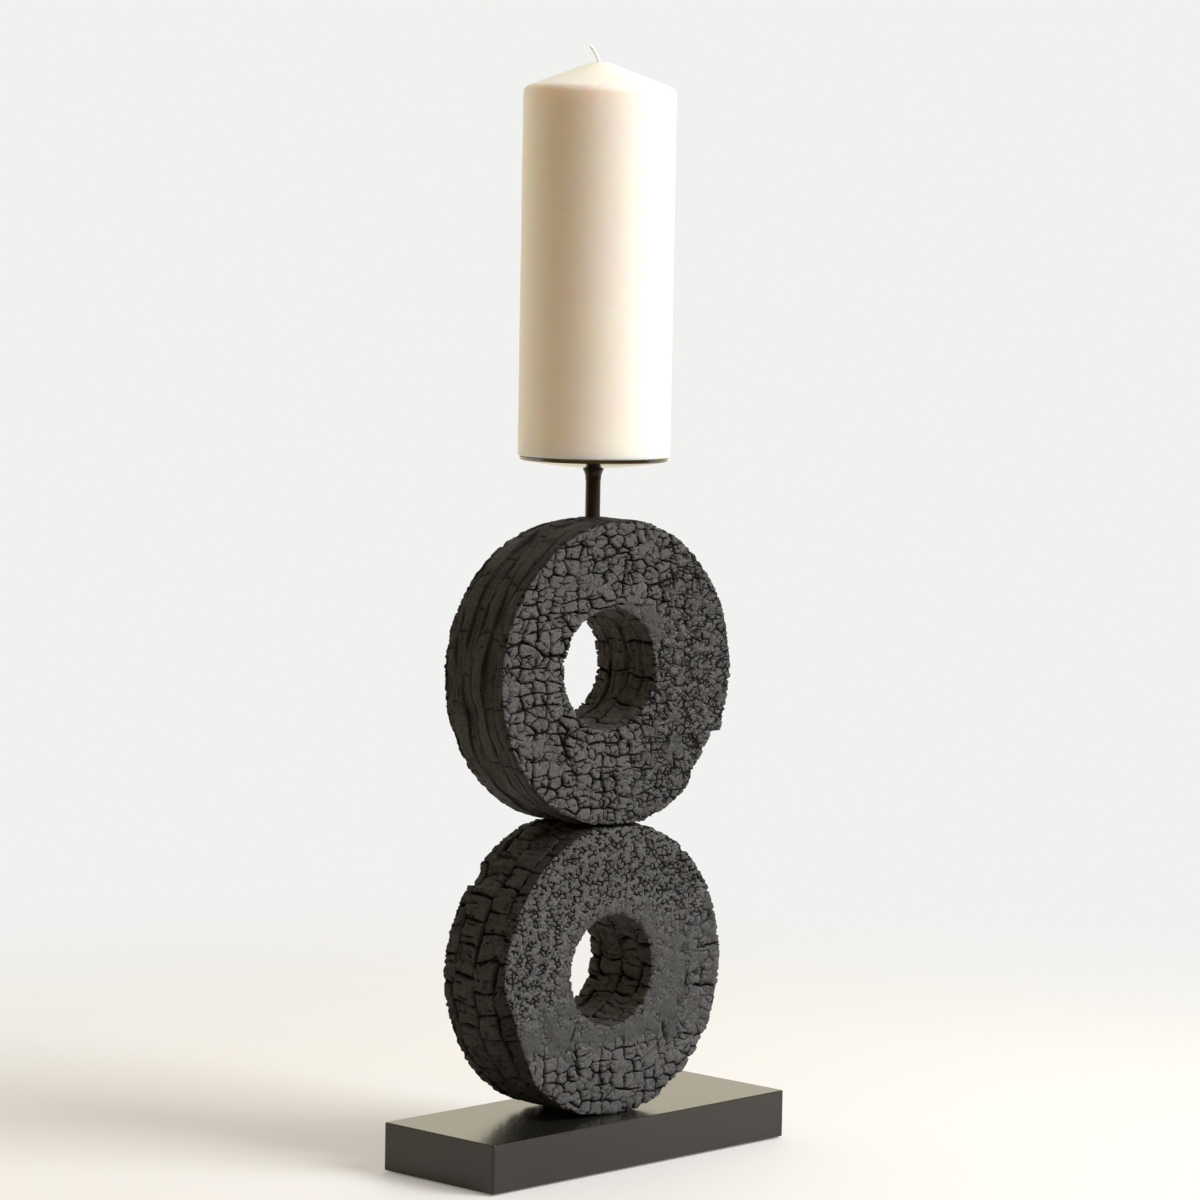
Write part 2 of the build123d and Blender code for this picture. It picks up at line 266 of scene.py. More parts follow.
def face_skin(tree, face, stretch, long_splits, shares):
    """The faces, across the grain: great splits, blocks, chips and pits.

    Shares say how coarse, how fine and how gritty a place is. Returns how far the skin is sunk, its
    cracks, the tones of its blocks and its granules.
    """
    coarse, fine, grit = shares
    laid = vector_calc(tree, "MULTIPLY", face, stretch)
    great, _, _ = cracks(tree, laid, GREAT_SIZE, 1.0, (-0.9, 1.3), drift=0.16)
    blocks, tilt, tones = cracks(tree, laid, BLOCK_SIZE, 0.8, (0.0, 1.4), randomness=0.74)
    chips, chip_tilt, _ = cracks(tree, laid, CHIP_SIZE, 0.75, (-0.6, 1.3), drift=0.26, randomness=0.85)
    granules, _, _ = cracks(tree, laid, GRANULE_SIZE, 0.85, (-0.5, 1.3), drift=0.24, randomness=1.0)
    holes = ramp(tree, noise(tree, face, HOLE_SIZE).outputs[0], 0.61, 0.67)
    pits = calc(tree, "MAXIMUM", calc(tree, "POWER", granules, 2.0), holes)
    great_share = calc(tree, "POWER", coarse, 2.0)
    sunk, crack = deepest(tree, [(great, GREAT_DEPTH, great_share), (blocks, BLOCK_DEPTH, coarse),
                                 (chips, CHIP_DEPTH, fine), (pits, PIT_DEPTH, grit),
                                 (long_splits, SPLIT_DEPTH, 1.0)])
    step = calc(tree, "MULTIPLY_ADD", tones[0], 0.45, calc(tree, "MULTIPLY", tilt, 1.1))
    chip_step = calc(tree, "MULTIPLY", calc(tree, "MULTIPLY", chip_tilt, 0.5), fine)
    sunk = calc(tree, "ADD", sunk, calc(tree, "MULTIPLY_ADD", step, coarse, chip_step))
    sunk = calc(tree, "MULTIPLY_ADD", granules, calc(tree, "MULTIPLY", grit, 0.35), sunk)
    return sunk, crack, tones, granules


def side_skin(tree, side, bricks, streak):
    """The rim and the bore, along the grain: staggered bricks and streaks.

    Bricks holds how many go round, their breadth and how deep their cracks are. Returns how far the
    skin is sunk, its cracks, the tones of its bricks and its streaks.
    """
    mask, lean, tones = brick_cracks(tree, side, bricks)
    streaks = noise(tree, vector_calc(tree, "MULTIPLY", side, streak), 1.0, detail=4.0).outputs[0]
    streaks = ramp(tree, streaks, 0.3, 0.7)
    streak_depth = calc(tree, "MULTIPLY", streaks, ramp(tree, bricks[2], 0.8, 2.4, 0.4, 0.7))
    sunk = calc(tree, "MULTIPLY_ADD", tones[0], 0.5, streak_depth)
    sunk = calc(tree, "MULTIPLY_ADD", lean, 1.2, sunk)
    sunk = calc(tree, "MULTIPLY_ADD", mask, bricks[2], sunk)
    crack = calc(tree, "MULTIPLY", mask, ramp(tree, bricks[2], 0.2, 2.2, 0.25, 1.0))
    return sunk, crack, tones, streaks


def char_pattern(kind):
    """The group that says how deep the charcoal is sunk, in millimetres, at a place on a ring.

    It is built twice, once for the relief's geometry nodes and once for the finish. Corner is how far
    past the edge between face and rim a place is, in millimetres, so that cracks run on over the edge.
    """
    tree, given, out = new_group("char_" + kind[:4].lower(), kind, CHAR_INPUTS, CHAR_OUTPUTS)
    face, side = given["Face place"], given["Side place"]
    patches = calc(tree, "SUBTRACT", noise(tree, face, 9.0, detail=3.0).outputs[0], 0.5)
    shares = [ramp(tree, calc(tree, "MULTIPLY_ADD", patches, 0.9, share), 0.2, 0.8)
              for share in parts(tree, given["Habit"])]
    coarse, _, grit = shares
    ragged = noise(tree, face, 3.0).outputs[0]
    corner = calc(tree, "MULTIPLY_ADD", ragged, 4.0, calc(tree, "SUBTRACT", given["Corner"], 2.0))
    on_face = ramp(tree, corner, 0.5, 4.0, 1.0, 0.0)
    on_side = ramp(tree, corner, -3.0, 0.0)
    side_share = ramp(tree, corner, -1.0, 1.0)

    sunk, crack, tones, granules = face_skin(tree, face, given["Stretch"], given["Long splits"], shares)
    in_bore = calc(tree, "GREATER_THAN", parts(tree, side)[1], BORE_SHIFT / 2)
    bricks = put(tree, "ShaderNodeMix", {0: in_bore, 4: given["Rim bricks"], 5: given["Bore bricks"]},
                 data_type="VECTOR").outputs[1]
    side_sunk, side_crack, side_tones, streaks = side_skin(tree, side, parts(tree, bricks), given["Streak"])

    # Chips along the edge, and the grain over everything.
    edge_chips = ramp(tree, noise(tree, face, 5.0, detail=3.0).outputs[0], 0.52, 0.7)
    near_edge = ramp(tree, calc(tree, "ABSOLUTE", given["Corner"]), 0.5, 4.0, 1.0, 0.0)
    edge_chips = calc(tree, "MULTIPLY", calc(tree, "MULTIPLY", edge_chips, near_edge), EDGE_CHIP_DEPTH)
    body = vector_calc(tree, "ADD", face, side)
    grain = noise(tree, body, 1.5, detail=5.0, roughness=0.75).outputs[0]
    rough = calc(tree, "MAXIMUM", calc(tree, "MAXIMUM", coarse, grit), on_side)
    grain_depth = calc(tree, "MULTIPLY", calc(tree, "SUBTRACT", 1.0, grain),
                       ramp(tree, rough, 0.0, 1.0, 0.5, 1.0))
    total = calc(tree, "MAXIMUM", calc(tree, "MULTIPLY", sunk, on_face),
                 calc(tree, "MULTIPLY", side_sunk, on_side))
    total = calc(tree, "ADD", total, edge_chips)
    total = calc(tree, "MULTIPLY_ADD", grain_depth, GRAIN_DEPTH, total)

    # What is too fine for the mesh is left to the finish, as bump.
    fine_depth = calc(tree, "MULTIPLY_ADD", granules, calc(tree, "MULTIPLY", grit, 0.4),
                      calc(tree, "MULTIPLY", grain_depth, 1.1))
    fine_depth = calc(tree, "MULTIPLY_ADD", streaks, calc(tree, "MULTIPLY", on_side, 0.3), fine_depth)
    results = {
        "Height": calc(tree, "MULTIPLY", calc(tree, "MULTIPLY", total, given["Calm"]), -1.0),
        "Fine height": calc(tree, "MULTIPLY", fine_depth, -1.0),
        "Crack": calc(tree, "MAXIMUM", calc(tree, "MULTIPLY", crack, on_face),
                      calc(tree, "MULTIPLY", side_crack, on_side)),
        "Tone": blend(tree, side_share, tones[1], side_tones[1]),
        "Side": side_share, "Grain": grain, "Bore": calc(tree, "MULTIPLY", side_share, in_bore),
        "Rough": rough}
    for label, value in results.items():
        tree.links.new(value, out[label])
    return tree


CHAR_RELIEF, SPLIT_RELIEF = char_pattern("GeometryNodeTree"), split_group("GeometryNodeTree")
CHAR_FINISH, SPLIT_FINISH = char_pattern("ShaderNodeTree"), split_group("ShaderNodeTree")
# The pattern's inputs that differ over a ring, and the mesh attributes that hold them.
SKIN_VECTORS = {"Face place": "face_place", "Side place": "side_place", "Habit": "habit"}
SKIN_VALUES = {"Corner": "corner", "Calm": "calm"}


# ---- the rings ------------------------------------------------------------------------------------------
# The mesh's step and the eased edge, in millimetres, and the most triangles that a ring keeps.
RING_STEP = 0.52
RING_EDGE = 1.3
RING_FACES = 190_000
# How far the rim is out of round: waves in a turn, their height in millimetres and where they start.
RIM_WAVES = ((3, 0.35, 0.6), (7, 0.2, 2.0))
# Where another piece meets a ring the skin is kept whole. That is at least this far above or below the
# ring's centre, and at most this far in from its rim, in millimetres.
MEETING_HEIGHT = 60
MEETING_INSET = 4


def between(value, low, high):
    """A smooth step from 0, at low, to 1, at high."""
    t = min(1.0, max(0.0, (value - low) / (high - low)))
    return t * t * (3 - 2 * t)


class Ring:
    """A ring's shape in millimetres and degrees, in its own frame: x across, y through, z up.

    Rise is how high its centre is over its foot. Top slope is how much its top falls, for each
    millimetre towards the back. Wear lists worn or broken places on the rim: the angles that each runs
    between, how far it is sunk, the depths that it runs between, and the share of it before it is at
    full depth. Splits lists the long cracks on the face: start, end and width. Calm is half the width
    and half the depth of the whole skin at its foot, and the same at its top. Look holds the pattern's
    own values: bricks are how many go round, their breadth and the depth of their cracks.
    """

    def __init__(self, node, radius, thickness, yaw, rise, bore, bore_shift, top_slope, wear, habit, look,
                 splits, calm):
        low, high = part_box(node)
        self.node = node
        self.radius = radius
        self.thickness = thickness
        self.yaw = yaw
        self.bore = bore
        self.bore_shift = bore_shift
        self.top_slope = top_slope
        self.wear = wear
        self.habit = habit
        self.look = look
        self.splits = splits
        self.calm = calm
        self.centre = Vector(((low.x + high.x) / 2, (low.y + high.y) / 2, low.z + rise * MM))
        self.foot = rise
        self.head = (high.z - self.centre.z) / MM

    def outline(self, angle, depth):
        """The rim's distance from the centre, at an angle and at a depth through the thickness."""
        reach = self.radius
        for waves, height, start in RIM_WAVES:
            reach -= height * (1 + math.sin(waves * angle + start))
        for start, end, sunk, from_depth, to_depth, onset in self.wear:
            # It is at full depth after its onset, and eases out over its last two fifths.
            off = (math.degrees(angle) - start) / (end - start)
            run = (depth - from_depth) / (to_depth - from_depth)
            if 0 < off < 1 and run < 1:
                reach -= sunk * min(1.0, off / onset) * between(1 - off, 0.0, 0.4) * min(1.0, 1.6 * (1 - run))
        rise = math.sin(angle)
        if rise < 0:
            return min(reach, self.foot / -rise)
        if rise > 0:
            return min(reach, (self.head - self.top_slope * max(0.0, depth)) / rise)
        return reach


def ring_section(ring, step, edge):
    """The ring's cross-section as a closed loop of short edges, with eased corners, in millimetres."""
    bm = bmesh.new()
    wall = ring.radius - ring.bore
    bmesh.ops.create_grid(bm, x_segments=1, y_segments=1, size=0.5)
    bmesh.ops.scale(bm, vec=(wall, ring.thickness, 1), verts=bm.verts)
    bmesh.ops.translate(bm, vec=(ring.bore + wall / 2, 0, 0), verts=bm.verts)
    bmesh.ops.bevel(bm, geom=bm.verts[:] + bm.edges[:], offset=edge, affect="VERTICES", segments=3,
                    profile=0.5, material=-1)
    bmesh.ops.delete(bm, geom=bm.faces[:], context="FACES_ONLY")
    for side in [e for e in bm.edges if e.calc_length() > 2 * step]:
        bmesh.ops.subdivide_edges(bm, edges=[side], cuts=int(side.calc_length() / step) - 1)
    return bm


def shape_ring(bm, ring):
    """Moves the plain ring's vertices to the real outline and bore, and notes on each where the charcoal's
    pattern lies: across and up on the flat faces, and round and through on the rim and the bore."""
    vectors = {name: bm.verts.layers.float_vector.new(name) for name in SKIN_VECTORS.values()}
    values = {name: bm.verts.layers.float.new(name) for name in SKIN_VALUES.values()}
    wall = ring.radius - ring.bore
    for v in bm.verts:
        x, depth, z = v.co
        distance, angle = math.hypot(x, z), math.atan2(z, x)
        share = min(1.0, max(0.0, (distance - ring.bore) / wall))
        out = Vector((math.cos(angle), math.sin(angle)))
        inner = Vector(ring.bore_shift) + ring.bore * out
        place = inner.lerp(ring.outline(angle, depth) * out, share)
        inset = min(share, 1 - share) * wall
        on_bore = share < 0.5
        around = (ring.bore if on_bore else ring.radius) * out
        back = depth > 0
        v[vectors["face_place"]] = (place.x + BACK_SHIFT * back, place.y, 0)
        v[vectors["side_place"]] = (around.x, depth + BORE_SHIFT * on_bore, around.y)
        v[vectors["habit"]] = ring.habit(-place.x if back else place.x, place.y, place.length)
        v[values["corner"]] = (ring.thickness / 2 - abs(depth)) - inset
        # The skin stays whole over the dowels, over the screws and round the stem.
        half_across, half_through = ring.calm[place.y > 0]
        off = math.hypot(place.x / half_across, depth / half_through)
        away = on_bore or inset > MEETING_INSET or abs(place.y) < MEETING_HEIGHT
        v[values["calm"]] = 1 if away else between(off, 1.0, 1.35)
        v.co = (place.x, depth, place.y)


def add_skin(tree, ring, pattern, split, read):
    """Places the pattern group, fed from the piece's own attributes and with the ring's own values."""
    group = tree.bl_idname.replace("Tree", "Group")
    feeds = {label: read(name, label in SKIN_VECTORS) for label, name in (SKIN_VECTORS | SKIN_VALUES).items()}
    opened = 0.0
    for start, end, width in ring.splits:
        run = (end[0] - start[0], end[1] - start[1], 0)
        crack = put(tree, group, {"Face place": feeds["Face place"], "Start": (*start, 0), "Run": run,
                                  "Width": width}, node_tree=split)
        opened = calc(tree, "MAXIMUM", opened, crack.outputs[0])
    return put(tree, group, feeds | {"Long splits": opened} | ring.look, node_tree=pattern).outputs


def relief_nodes(ring):
    """Geometry nodes that sink a ring's skin by the charcoal pattern, along its normals."""
    tree, given, out = new_group(ring.node + "_relief", "GeometryNodeTree",
                                 {"Geometry": "Geometry"}, {"Geometry": "Geometry"})

    def read(name, is_vector):
        sort = "FLOAT_VECTOR" if is_vector else "FLOAT"
        node = put(tree, "GeometryNodeInputNamedAttribute", {"Name": name}, data_type=sort)
        return node.outputs["Attribute"]

    skin = add_skin(tree, ring, CHAR_RELIEF, SPLIT_RELIEF, read)
    normal = put(tree, "GeometryNodeInputNormal").outputs[0]
    sunk = scaled(tree, normal, skin["Height"])
    moved = put(tree, "GeometryNodeSetPosition", {"Geometry": given["Geometry"], "Offset": sunk})
    tree.links.new(moved.outputs[0], out["Geometry"])
    return tree


def bake_modifiers(obj):
    """Keeps the shape that the modifiers give, and drops them."""
    graph = bpy.context.evaluated_depsgraph_get()
    mesh = bpy.data.meshes.new_from_object(obj.evaluated_get(graph), preserve_all_data_layers=True,
                                           depsgraph=graph)
    obj.modifiers.clear()
    obj.data = mesh


def new_piece(name, bm):
    """Makes a linked object from a bmesh, with smooth faces."""
    mesh = bpy.data.meshes.new(name)
    bm.to_mesh(mesh)
    bm.free()
    mesh.shade_smooth()
    piece = bpy.data.objects.new(name, mesh)
    scene.collection.objects.link(piece)
    return piece


def spin_ring(bm, steps):
    """Spins the section round: an eighth of a turn, then the rest as turned copies."""
    eighth = math.pi / 4
    bmesh.ops.spin(bm, geom=bm.verts[:] + bm.edges[:], cent=(0, 0, 0), axis=(0, 1, 0), dvec=(0, 0, 0),
                   angle=eighth, steps=steps // 8, use_duplicate=False)
    for copies in (1, 2, 4):
        made = bmesh.ops.duplicate(bm, geom=bm.verts[:] + bm.edges[:] + bm.faces[:])["geom"]
        turned = [g for g in made if isinstance(g, bmesh.types.BMVert)]
        bmesh.ops.rotate(bm, verts=turned, cent=(0, 0, 0), matrix=Matrix.Rotation(copies * eighth, 3, "Y"))
    bmesh.ops.remove_doubles(bm, verts=bm.verts, dist=0.01)
    bmesh.ops.recalc_face_normals(bm, faces=bm.faces)


def make_ring(ring):
    """Models a ring with its charred skin, in place of the plain one."""
    bm = ring_section(ring, RING_STEP, RING_EDGE)
    spin_ring(bm, int(math.pi * (ring.radius + ring.bore) / RING_STEP))
    shape_ring(bm, ring)
    piece = new_piece(ring.node + "_charred", bm)
    piece.modifiers.new("relief", "NODES").node_group = relief_nodes(ring)
    triangles = 2 * len(piece.data.polygons)
    if triangles > RING_FACES:
        piece.modifiers.new("lighten", "DECIMATE").ratio = RING_FACES / triangles
    bake_modifiers(piece)
    place = Matrix.Translation(ring.centre) @ Matrix.Rotation(math.radians(-ring.yaw), 4, "Z")
    piece.data.transform(place @ Matrix.Scale(MM, 4))
    piece.data.materials.append(charred_wood(ring))
    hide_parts(ring.node)
    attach(piece, "holder")


def lower_habit(x, z, distance):
    """Coarse, fine and gritty shares of the lower ring's face: gritty above, calm round the bore."""
    outer = between(distance, 33, 56)
    gritty = between(z - 0.4 * x, -14, 42) * between(distance, 26, 54)
    right, below = between(x, 8, 46) * outer, between(-z, 20, 50)
    fine = 0.32 + 0.12 * max(right, below)
    return (max(0.5 * right, 0.85 * below), fine, 0.4 + 0.6 * gritty - 0.12 * below)


def upper_habit(x, z, distance):
    """The upper ring's face: big blocks on the left and below, smaller on the right, few over the bore."""
    right = between(x - 0.3 * z, -10, 46)
    cracked = 1 - 0.6 * between(z, 10, 24) * (1 - between(distance, 34, 44))
    return ((1.0 - 0.55 * right) * cracked, (0.55 + 0.2 * right) * cracked, 0.3 + 0.25 * right)


# ---- finishes -------------------------------------------------------------------------------------------
def new_material(name):
    """A material with an empty Principled shader. Returns it, its tree and the shader."""
    material = bpy.data.materials.new(name)
    material.use_nodes = True
    tree = material.node_tree
    tree.nodes.clear()
    shader = put(tree, "ShaderNodeBsdfPrincipled")
    output = put(tree, "ShaderNodeOutputMaterial")
    tree.links.new(shader.outputs[0], output.inputs["Surface"])
    return material, tree, shader


def mottle_group():
    """Slow and fine unevenness that paint, metal, wax and felt share, from a place in metres."""
    tree, given, out = new_group(
        "mottle", "ShaderNodeTree",
        {"Place": "Vector", "Colour": "Color", "Second colour": "Color", "Cloud size": "Float",
         "Grain size": "Float"},
        {"Colour": "Color", "Cloud": "Float", "Grain": "Float"})
    clouds = put(tree, "ShaderNodeTexNoise", {"Vector": given["Place"], "Detail": 3.0,
                 "Scale": calc(tree, "DIVIDE", 1.0, given["Cloud size"])}).outputs[0]
    grain = put(tree, "ShaderNodeTexNoise", {"Vector": given["Place"], "Detail": 4.0,
                "Scale": calc(tree, "DIVIDE", 1.0, given["Grain size"])}).outputs[0]
    share = ramp(tree, clouds, 0.35, 0.65)
    tree.links.new(tint(tree, share, given["Colour"], given["Second colour"]), out["Colour"])
    tree.links.new(share, out["Cloud"])
    tree.links.new(grain, out["Grain"])
    return tree


MOTTLE = mottle_group()


def add_mottle(tree, colour, second, cloud, grain):
    """Places the unevenness, with a finish's own two colours, and its sizes in metres."""
    place = put(tree, "ShaderNodeTexCoord").outputs["Object"]
    values = {"Place": place, "Colour": (*colour, 1), "Second colour": (*second, 1), "Cloud size": cloud,
              "Grain size": grain}
    return put(tree, "ShaderNodeGroup", values, node_tree=MOTTLE).outputs


def add_bump(tree, shader, height, distance):
    """Roughens a shader by a height of 0 to 1, times a distance in metres."""
    bump = put(tree, "ShaderNodeBump", {"Height": height, "Distance": distance, "Strength": 1.0})
    tree.links.new(bump.outputs[0], shader.inputs["Normal"])


# The charcoal's colours: two tones of blocks on the faces and two on the rim, the rim's darkened as painted
# shade, the bore, worn high spots lightened partly as a painted highlight, calm sooty places, and the bottoms
# of cracks, blackened as painted shade.
CHAR_FACE = ((0.092, 0.097, 0.104, 1), (0.069, 0.073, 0.078, 1))
# The rim's two tones are darker than the charcoal is: painted shade on the rim.
CHAR_SHADED_SIDE = ((0.024, 0.0232, 0.0222, 1), (0.016, 0.0155, 0.0148, 1))
CHAR_BORE = (0.066, 0.062, 0.056, 1)
# Light grey on worn high spots: partly real wear, partly a painted highlight.
CHAR_WORN_AND_GLINT = (0.18, 0.184, 0.19, 1)
CHAR_SOOT = (0.036, 0.038, 0.040, 1)
# Near black in the cracks: charcoal, darkened further as painted shade.
CHAR_CRACK_SHADE = (0.0025, 0.0022, 0.002, 1)
# The pattern's marks that colour it.
CHAR_MARKS = ("Tone", "Side", "Bore", "Rough", "Grain", "Crack")


def char_colour_group():
    """The charcoal's colour and roughness, from the marks that the pattern leaves.

    Grey blocks on the faces; browner, darker blocks on the rim and bore, the rim's dark partly painted shade;
    worn high spots lightened partly as a painted highlight; black in the cracks and hollows, charcoal
    darkened further as painted shade.
    """
    tree, given, out = new_group("char_colour", "ShaderNodeTree", {mark: "Float" for mark in CHAR_MARKS},
                                 {"Colour": "Color", "Roughness": "Float"})
    tone, side = given["Tone"], given["Side"]
    # The rim and bore take the darker tones, which are painted shade on the rim.
    ground = tint(tree, side, tint(tree, tone, *CHAR_FACE), tint(tree, tone, *CHAR_SHADED_SIDE))
    ground = tint(tree, calc(tree, "MULTIPLY", given["Bore"], 0.8), ground, CHAR_BORE)
    ground = tint(tree, ramp(tree, given["Rough"], 0.75, 0.15, 0.0, 0.85), ground, CHAR_SOOT)
    # High spots of the grain are lightened, partly as a painted highlight, and kept off the rim.
    worn = calc(tree, "MULTIPLY", ramp(tree, given["Grain"], 0.46, 0.66, 0.0, 0.8),
                calc(tree, "MULTIPLY_ADD", side, -0.92, 1.0))
    worn = calc(tree, "MULTIPLY", worn, ramp(tree, given["Rough"], 0.1, 0.7, 0.2, 1.0))
    ground = tint(tree, worn, ground, CHAR_WORN_AND_GLINT)
    # Painted shade in the grain's hollows and, below, in the cracks.
    hollow_shade = ramp(tree, given["Grain"], 0.5, 0.3, 0.0, 0.55)
    shade = calc(tree, "MAXIMUM", ramp(tree, given["Crack"], 0.1, 0.7), hollow_shade)
    tree.links.new(tint(tree, shade, ground, CHAR_CRACK_SHADE), out["Colour"])
    tree.links.new(blend(tree, shade, 0.6, 0.95), out["Roughness"])
    return tree


CHAR_COLOUR = char_colour_group()


def charred_wood(ring):
    """Charcoal, with the ring's own pattern."""
    material, tree, shader = new_material(ring.node + "_char")

    def read(name, is_vector):
        return put(tree, "ShaderNodeAttribute", attribute_name=name).outputs["Vector" if is_vector else "Fac"]

    skin = add_skin(tree, ring, CHAR_FINISH, SPLIT_FINISH, read)
    marks = {mark: skin[mark] for mark in CHAR_MARKS}
    colours = put(tree, "ShaderNodeGroup", marks, node_tree=CHAR_COLOUR).outputs
    tree.links.new(colours["Colour"], shader.inputs["Base Color"])
    tree.links.new(colours["Roughness"], shader.inputs["Roughness"])
    shader.inputs["Specular IOR Level"].default_value = 0.35
    add_bump(tree, shader, skin["Fine height"], MM)
    return material


def plain_finish(name, colour, second, roughness, cloud=0.03, grain=0.0006, bump=0.00002, metallic=0.0,
                 specular=0.5):
    """A solid finish with a slow change of tone and a fine grain. Cloud, grain and bump are in metres."""
    material, tree, shader = new_material(name)
    mottle = add_mottle(tree, colour, second, cloud, grain)
    tree.links.new(mottle["Colour"], shader.inputs["Base Color"])
    tree.links.new(blend(tree, mottle["Grain"], roughness[0], roughness[1]), shader.inputs["Roughness"])
    shader.inputs["Metallic"].default_value = metallic
    shader.inputs["Specular IOR Level"].default_value = specular
    add_bump(tree, shader, mottle["Grain"], bump)
    return material, shader


def soak(shader, weight, radius, scale):
    """Lets light soak in: the reach of red, green and blue, times a scale in metres."""
    shader.inputs["Subsurface Weight"].default_value = weight
    shader.inputs["Subsurface Radius"].default_value = radius
    shader.inputs["Subsurface Scale"].default_value = scale


def dress(material, *nodes):
    """Gives CAD nodes their finish."""
    for node in nodes:
        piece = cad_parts[node]
        piece.data.materials.clear()
        piece.data.materials.append(material)


def dress_cad_nodes():
    """Black lacquer, felt, steel, zinc, brass, beech, ivory wax and cotton."""
    steel, _ = plain_finish("black_steel", (0.006, 0.006, 0.006), (0.010, 0.009, 0.008), (0.30, 0.42),
                            specular=0.35)
    dress(steel, "stem", "stem_collar", "candle_spike")
    burnished, _ = plain_finish("burnished_steel", (0.13, 0.125, 0.12), (0.17, 0.165, 0.155), (0.12, 0.2),
                                bump=0.00001, metallic=1.0)
    dress(burnished, "candle_pan")
    lacquer, shader = plain_finish("black_lacquer", (0.013, 0.0125, 0.0115), (0.017, 0.016, 0.0145),
                                   (0.22, 0.30), cloud=0.06, grain=0.0009, specular=0.33)
    shader.inputs["Coat Weight"].default_value = 0.36
    shader.inputs["Coat Roughness"].default_value = 0.13
    dress(lacquer, "base_plinth")
    felt, _ = plain_finish("black_felt", (0.02, 0.02, 0.02), (0.03, 0.03, 0.03), (0.9, 1.0),
                           grain=0.0005, bump=0.0002)
    dress(felt, "base_felt")
    zinc, _ = plain_finish("zinc", (0.55, 0.55, 0.53), (0.62, 0.62, 0.6), (0.3, 0.45), metallic=1.0)
    dress(zinc, "base_screws")
    brass, _ = plain_finish("turned_brass", (0.72, 0.52, 0.22), (0.78, 0.58, 0.27), (0.25, 0.4),
                            metallic=1.0)
    dress(brass, "stem_insert")
    beech, _ = plain_finish("beech", (0.55, 0.38, 0.23), (0.62, 0.45, 0.28), (0.5, 0.65), cloud=0.004)
    dress(beech, "ring_dowels")
    wax, shader = plain_finish("wax", (0.945, 0.945, 0.89), (0.94, 0.935, 0.865), (0.36, 0.48),
                               cloud=0.05, grain=0.004, bump=0.00003, specular=0.4)
    soak(shader, 1.0, (1.0, 0.55, 0.2), 0.009)
    dress(wax, "candle")
    cotton, shader = plain_finish("cotton", (0.92, 0.91, 0.88), (0.86, 0.84, 0.79), (0.8, 0.9),
                                  cloud=0.002, grain=0.0004, bump=0.0001)
    soak(shader, 0.6, (1.0, 0.9, 0.8), 0.002)
    dress(cotton, "wick")


# ---- stage and light -------------------------------------------------------------------------------------
# The camera sees the plain backdrop; the object is lit by the wall, the room and the ceiling.
BACKDROP = (0.88, 0.88, 0.87, 1)
WALL_BEHIND = (1.16, 1.07, 0.84, 1)
ROOM_IN_FRONT = (0.28, 0.152, 0.038, 1)
OVERHEAD = (0.53, 0.48, 0.40, 1)
TO_FRONT = Vector((-0.67, -0.74, 0.0))
FLOOR_COLOUR = (0.86, 0.87, 0.89, 1)
FLOOR_ROUGHNESS = 0.6
FLOOR_RADIUS = 8.0
# The floor glows a little near the object, and wholly from the second distance on, in metres.
FLOOR_LIT_FROM = 0.25
FLOOR_LIT_TO = 0.9
FLOOR_GLOW = 0.22
# The lamp: degrees off +X, metres, watts.
KEY_HEADING = -66
KEY_HEIGHT = 1.5
KEY_DISTANCE = 2.0
KEY_SIZE = 1.3
KEY_POWER = 69
KEY_COLOUR = (1.0, 0.99, 0.98)
OBJECT_MIDDLE = Vector((0, 0, 0.25))


def make_floor():
    """A pale floor. Away from the object it fades into the backdrop, and lights it as a room would."""
    bm = bmesh.new()
    bmesh.ops.create_circle(bm, cap_ends=True, segments=96, radius=FLOOR_RADIUS)
    floor = new_piece("floor", bm)
    material, tree, shader = new_material("pale_floor")
    shader.inputs["Base Color"].default_value = FLOOR_COLOUR
    shader.inputs["Roughness"].default_value = FLOOR_ROUGHNESS
    place = put(tree, "ShaderNodeTexCoord").outputs["Object"]
    toward = dot(tree, place, TO_FRONT)
    seen = put(tree, "ShaderNodeLightPath").outputs["Is Camera Ray"]
    unseen = tint(tree, ramp(tree, toward, -0.3, 0.3), WALL_BEHIND, ROOM_IN_FRONT)
    glow = put(tree, "ShaderNodeEmission", {"Color": tint(tree, seen, unseen, BACKDROP)})
    far = ramp(tree, length(tree, place), FLOOR_LIT_FROM, FLOOR_LIT_TO, FLOOR_GLOW, 1.0)
    fade = put(tree, "ShaderNodeMixShader", {0: far, 1: shader.outputs[0], 2: glow.outputs[0]})
    output = next(n for n in tree.nodes if n.type == "OUTPUT_MATERIAL")
    tree.links.new(fade.outputs[0], output.inputs["Surface"])
    floor.data.materials.append(material)


def make_world():
    """A bright wall behind, a dim room in front, and the plain backdrop for what the camera sees."""
    world = bpy.data.worlds.new("room")
    scene.world = world
    world.use_nodes = True
    tree = world.node_tree
    tree.nodes.clear()
    way = put(tree, "ShaderNodeTexCoord").outputs["Generated"]
    toward = dot(tree, way, TO_FRONT)
    walls = tint(tree, ramp(tree, toward, -0.5, 0.2), WALL_BEHIND, ROOM_IN_FRONT)
    light = tint(tree, ramp(tree, parts(tree, way)[2], 0.35, 0.9), walls, OVERHEAD)
    seen = put(tree, "ShaderNodeLightPath").outputs["Is Camera Ray"]
    colour = tint(tree, seen, light, BACKDROP)
    ground = put(tree, "ShaderNodeBackground", {"Color": colour})
    output = put(tree, "ShaderNodeOutputWorld")
    tree.links.new(ground.outputs[0], output.inputs["Surface"])


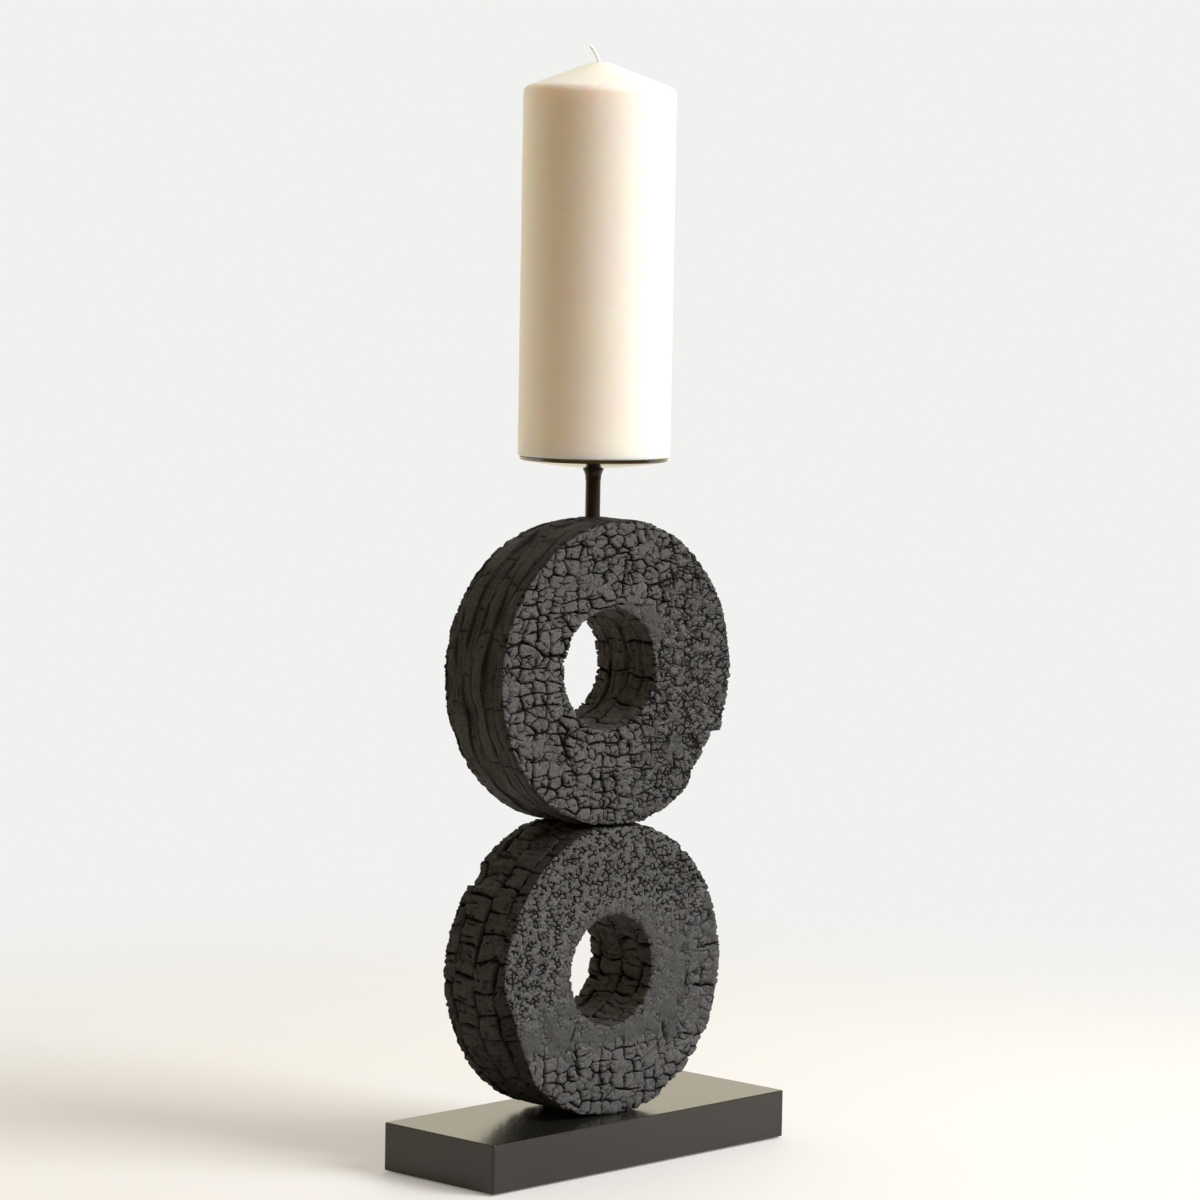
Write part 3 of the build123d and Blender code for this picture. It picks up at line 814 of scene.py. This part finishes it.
def make_key_lamp():
    """A square soft lamp that looks at the middle of the object."""
    data = bpy.data.lights.new("key", "AREA")
    data.shape = "SQUARE"
    data.size = KEY_SIZE
    data.energy = KEY_POWER
    data.color = KEY_COLOUR
    lamp = bpy.data.objects.new("key", data)
    scene.collection.objects.link(lamp)
    around = math.radians(KEY_HEADING)
    lamp.location = (KEY_DISTANCE * math.cos(around), KEY_DISTANCE * math.sin(around), KEY_HEIGHT)
    aim = OBJECT_MIDDLE - lamp.location
    lamp.rotation_euler = aim.to_track_quat("-Z", "Y").to_euler()


# ---- build -----------------------------------------------------------------------------------------------
make_ring(Ring(
    "lower_ring", radius=75.5, thickness=47.0, yaw=3.0, rise=73.0, bore=27.0, bore_shift=(-2.2, 0.0),
    top_slope=0.0, wear=[(-178, -132, 4.0, -26, -14, 0.2), (144, 133, 3.6, 50, -10, 0.15)], habit=lower_habit,
    look={"Stretch": (0.95, 1.12, 1), "Rim bricks": (35, 15.5, 2.8), "Bore bricks": (19, 15.0, 2.2),
          "Streak": (0.55, 0.09, 0.55)},
    splits=[((-24, -21), (-33, -38), 1.2), ((-27, -34), (-23, -53), 2.2), ((-8, -46), (-11, -60), 1.4),
            ((34, -28), (37, -45), 1.6), ((51, -3), (50, -21), 1.5), ((73, 7), (58, 6), 1.6),
            ((70, -15), (54, -13), 1.6)],
    calm=((15, 20), (16, 7))))
make_ring(Ring(
    "upper_ring", radius=78.0, thickness=46.0, yaw=4.5, rise=75.35, bore=29.25, bore_shift=(-6.0, 2.9),
    top_slope=0.09, habit=upper_habit,
    wear=[(-25, -53, 5.6, -30, 20, 0.07), (72, 138, 3.2, 40, 9, 0.3), (-1, -24, 1.2, -40, 10, 0.4)],
    look={"Stretch": (0.8, 1.1, 1), "Rim bricks": (15, 8.0, 0.8), "Bore bricks": (12, 13.0, 1.8),
          "Streak": (0.12, 0.55, 0.12)},
    splits=[((-53, -5), (-42, -22), 1.1), ((-42, -21), (-31, -42), 2.1), ((-31, -41), (-28, -60), 1.1),
            ((-58, 28), (-20, 34), 1.0), ((-22, 34), (22, 35), 0.9)],
    calm=((16, 7), (7, 7))))
dress_cad_nodes()
make_floor()
make_world()
make_key_lamp()
